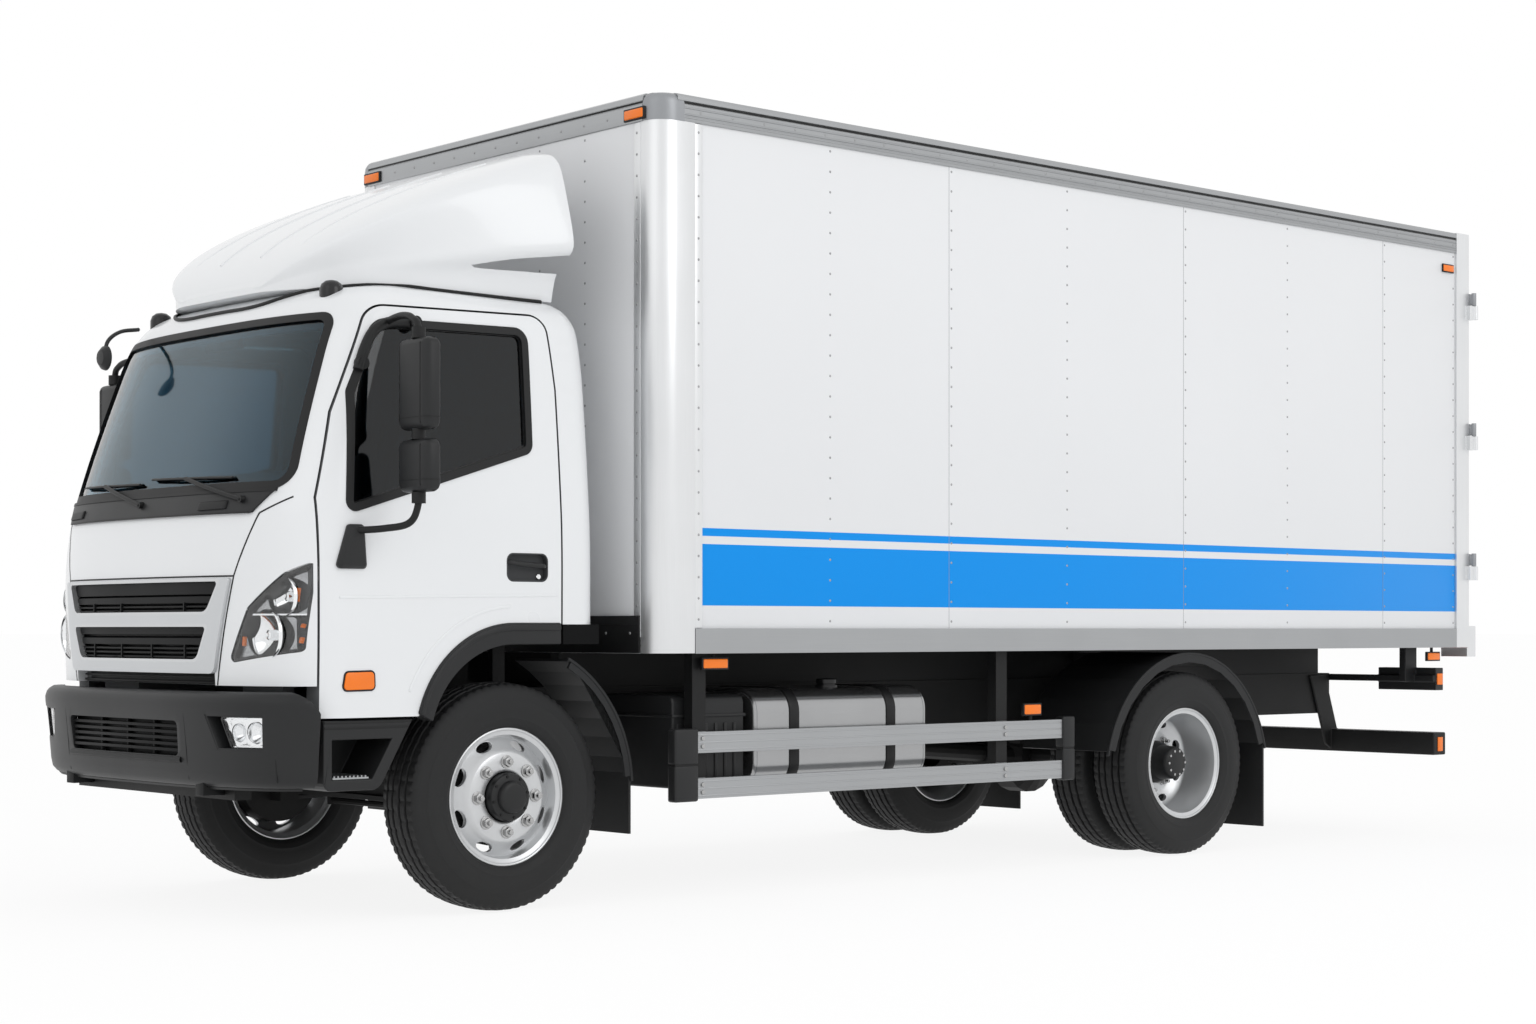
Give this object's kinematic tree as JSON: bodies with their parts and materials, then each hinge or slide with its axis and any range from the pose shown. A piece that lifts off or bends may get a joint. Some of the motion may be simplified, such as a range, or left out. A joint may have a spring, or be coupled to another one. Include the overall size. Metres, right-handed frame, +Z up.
{
  "type": "cab-over delivery truck",
  "caption": "Two-axle cab-over delivery truck with a hollow aluminium cargo box, roof fairing, twin rear wheels, and a tilting cab with opening doors",
  "frame": {"origin": "on the ground, centred in width and length between the bumper's front and the rear buffers", "axes": "+Z up, the front of the truck faces -Y, +X is the driver's side, which is the truck's left"},
  "size_m": [2.54, 7.425, 3.205],
  "materials": {
    "cab_white": "smooth white gloss paint",
    "box_panel": "light grey white coated panel with blue stripes",
    "aluminium": "extruded and brushed aluminium",
    "chassis_black": "black chassis paint",
    "black_plastic": "grained dark grey plastic",
    "tyre_rubber": "black tyre rubber",
    "wheel_silver": "silver painted steel",
    "tinted_glass": "blue tinted glass with a black border",
    "lamp_clear": "clear lamp cover",
    "grille_silver": "silver grey paint",
    "cab_trim": "dark grey cloth and moulded trim"
  },
  "bodies": {
    "chassis": {"frame": "chassis_black", "front_axle": "chassis_black", "rear_axle": "chassis_black", "powertrain": "chassis_black", "fuel_tank": "aluminium", "battery_box": "black_plastic", "air_reservoir": "chassis_black", "side_guard_left": "aluminium", "side_guard_right": "aluminium", "front_bumper": "black_plastic", "cab_step_left": "black_plastic", "cab_step_right": "black_plastic", "front_mudguard_left": "black_plastic", "front_mudguard_right": "black_plastic", "rear_mudguard_left": "black_plastic", "rear_mudguard_right": "black_plastic", "rear_underrun": "black_plastic", "tail_lamps": "black_plastic", "box_floor": "aluminium", "box_front": "box_panel", "box_side_left": "box_panel", "box_side_right": "box_panel", "box_roof": "aluminium", "rear_frame": "aluminium"},
    "cab": {"cab_shell": "cab_white", "windscreen": "tinted_glass", "headlamp_left": "lamp_clear", "headlamp_right": "lamp_clear", "grille": "grille_silver", "grille_louvres": "black_plastic", "cowl": "black_plastic", "arch_liner_left": "black_plastic", "arch_liner_right": "black_plastic", "roof_fairing": "cab_white", "seat_bench": "cab_trim", "dashboard": "cab_trim"},
    "door_left": {"door_left": "cab_white", "door_glass_left": "tinted_glass", "mirror_left": "black_plastic"},
    "door_right": {"door_right": "cab_white", "door_glass_right": "tinted_glass", "mirror_right": "black_plastic"},
    "knuckle_left": {"knuckle_left": "chassis_black"},
    "knuckle_right": {"knuckle_right": "chassis_black"},
    "tie_rod": {"tie_rod": "chassis_black"},
    "front_wheel_left": {"front_wheel_left": "wheel_silver", "front_tyre_left": "tyre_rubber"},
    "front_wheel_right": {"front_wheel_right": "wheel_silver", "front_tyre_right": "tyre_rubber"},
    "rear_wheel_left": {"rear_wheel_left": "wheel_silver", "rear_tyre_outer_left": "tyre_rubber", "rear_tyre_inner_left": "tyre_rubber"},
    "rear_wheel_right": {"rear_wheel_right": "wheel_silver", "rear_tyre_outer_right": "tyre_rubber", "rear_tyre_inner_right": "tyre_rubber"},
    "box_door_left": {"box_door_left": "box_panel"},
    "box_door_right": {"box_door_right": "box_panel"}
  },
  "joints": [
    {"name": "cab_tilt", "type": "hinge", "parent": "chassis", "child": "cab", "pos_m": [0, -3.6125, 0.66], "axis": [1, 0, 0], "range_deg": [0, 45]},
    {"name": "door_left_hinge", "type": "hinge", "parent": "cab", "child": "door_left", "pos_m": [0.958, -3.4045, 1.2], "axis": [0, 0, -1], "range_deg": [0, 70]},
    {"name": "door_right_hinge", "type": "hinge", "parent": "cab", "child": "door_right", "pos_m": [-0.958, -3.4045, 1.2], "axis": [0, 0, 1], "range_deg": [0, 70]},
    {"name": "steer_left", "type": "hinge", "parent": "chassis", "child": "knuckle_left", "pos_m": [0.72, -2.5625, 0.44], "axis": [0, 0, 1], "range_deg": [-35, 35]},
    {"name": "steer_right", "type": "hinge", "parent": "chassis", "child": "knuckle_right", "pos_m": [-0.72, -2.5625, 0.44], "axis": [0, 0, 1], "range_deg": [-35, 35]},
    {"name": "tie_rod_pivot", "type": "hinge", "parent": "knuckle_left", "child": "tie_rod", "pos_m": [0.66, -2.3625, 0.34], "axis": [0, 0, 1], "range_deg": [-40, 40]},
    {"name": "front_wheel_left_spin", "type": "hinge", "parent": "knuckle_left", "child": "front_wheel_left", "pos_m": [0.822, -2.5625, 0.44], "axis": [1, 0, 0], "continuous": true},
    {"name": "front_wheel_right_spin", "type": "hinge", "parent": "knuckle_right", "child": "front_wheel_right", "pos_m": [-0.822, -2.5625, 0.44], "axis": [1, 0, 0], "continuous": true},
    {"name": "rear_wheel_left_spin", "type": "hinge", "parent": "chassis", "child": "rear_wheel_left", "pos_m": [0.957, 1.3075, 0.44], "axis": [1, 0, 0], "continuous": true},
    {"name": "rear_wheel_right_spin", "type": "hinge", "parent": "chassis", "child": "rear_wheel_right", "pos_m": [-0.957, 1.3075, 0.44], "axis": [1, 0, 0], "continuous": true},
    {"name": "box_door_left_hinge", "type": "hinge", "parent": "chassis", "child": "box_door_left", "pos_m": [1.128, 3.6625, 2.1], "axis": [0, 0, -1], "range_deg": [0, 270]},
    {"name": "box_door_right_hinge", "type": "hinge", "parent": "chassis", "child": "box_door_right", "pos_m": [-1.128, 3.6625, 2.1], "axis": [0, 0, 1], "range_deg": [0, 270]}
  ],
  "couplings": [
    {"joint": "steer_right", "follows": "steer_left", "ratio": 1},
    {"joint": "tie_rod_pivot", "follows": "steer_left", "ratio": -1.084}
  ]
}
